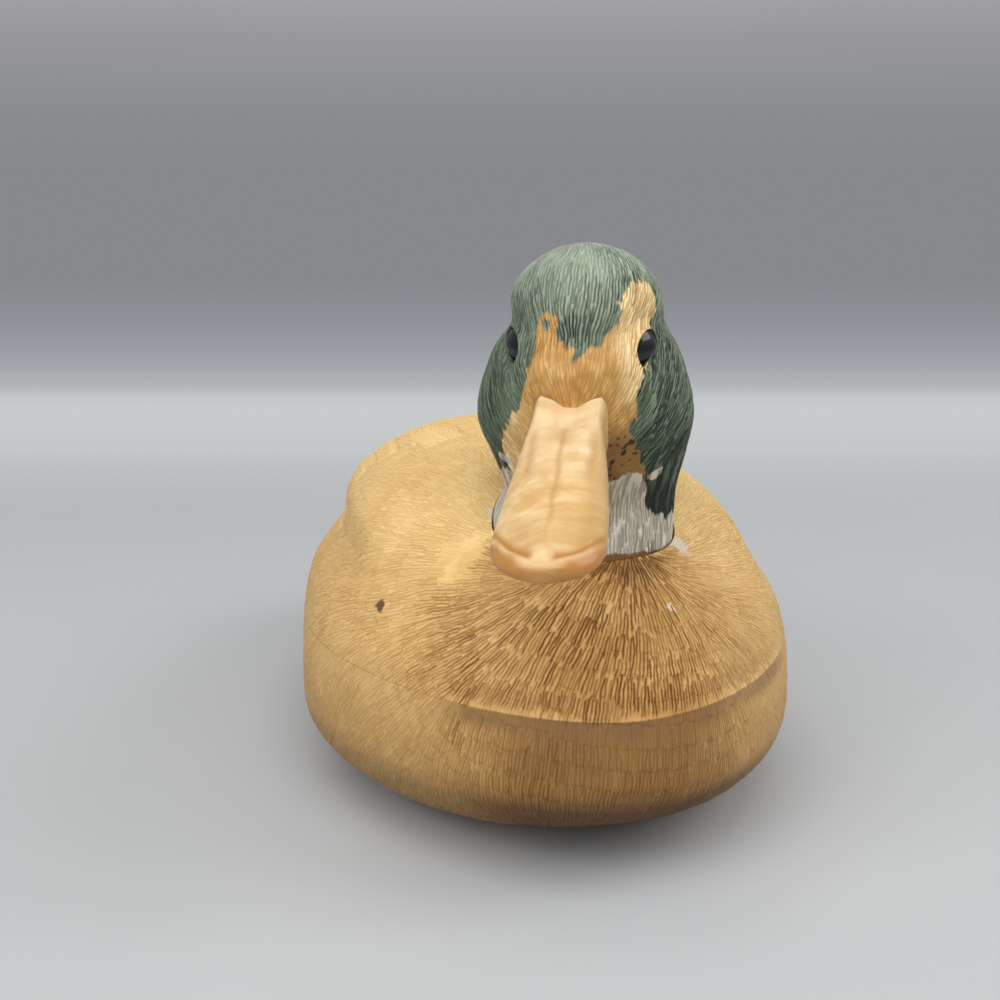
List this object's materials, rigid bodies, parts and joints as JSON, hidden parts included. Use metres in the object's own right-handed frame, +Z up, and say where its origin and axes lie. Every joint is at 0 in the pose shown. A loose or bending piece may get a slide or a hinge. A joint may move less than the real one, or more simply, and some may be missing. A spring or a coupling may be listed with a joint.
{
  "type": "duck decoy",
  "caption": "Reduced-size carved wooden duck decoy with a hollow two-block body, a turned head let into the breast, a let-in bill and glass eyes; stands on a flat underside.",
  "frame": {"origin": "on the flat underside, below the middle of the whole figure's bounding box", "axes": "+Z up, +Y from breast to tail, +X towards the duck's own left side"},
  "size_m": [0.0984, 0.2028, 0.1085],
  "materials": {
    "carved_wood": "wood-burned feather barbs under a thin satin sealer",
    "painted_head": "satin grey-green paint over carved wood, bare round the bill, white ring at the neck",
    "bill_wood": "smooth satin",
    "eye_glass": "polished dark glass",
    "eye_putty": "matte",
    "screw_steel": "bright zinc",
    "dowel_wood": "turned, unfinished"
  },
  "bodies": {
    "root": {"body_upper": "carved_wood", "body_lower": "carved_wood", "head_and_neck": "painted_head", "bill": "bill_wood", "eye_left": "eye_glass", "eye_right": "eye_glass", "eye_putty_left": "eye_putty", "eye_putty_right": "eye_putty", "neck_screw": "screw_steel", "neck_washer": "screw_steel", "dowel_front": "dowel_wood", "dowel_rear": "dowel_wood"}
  },
  "joints": []
}
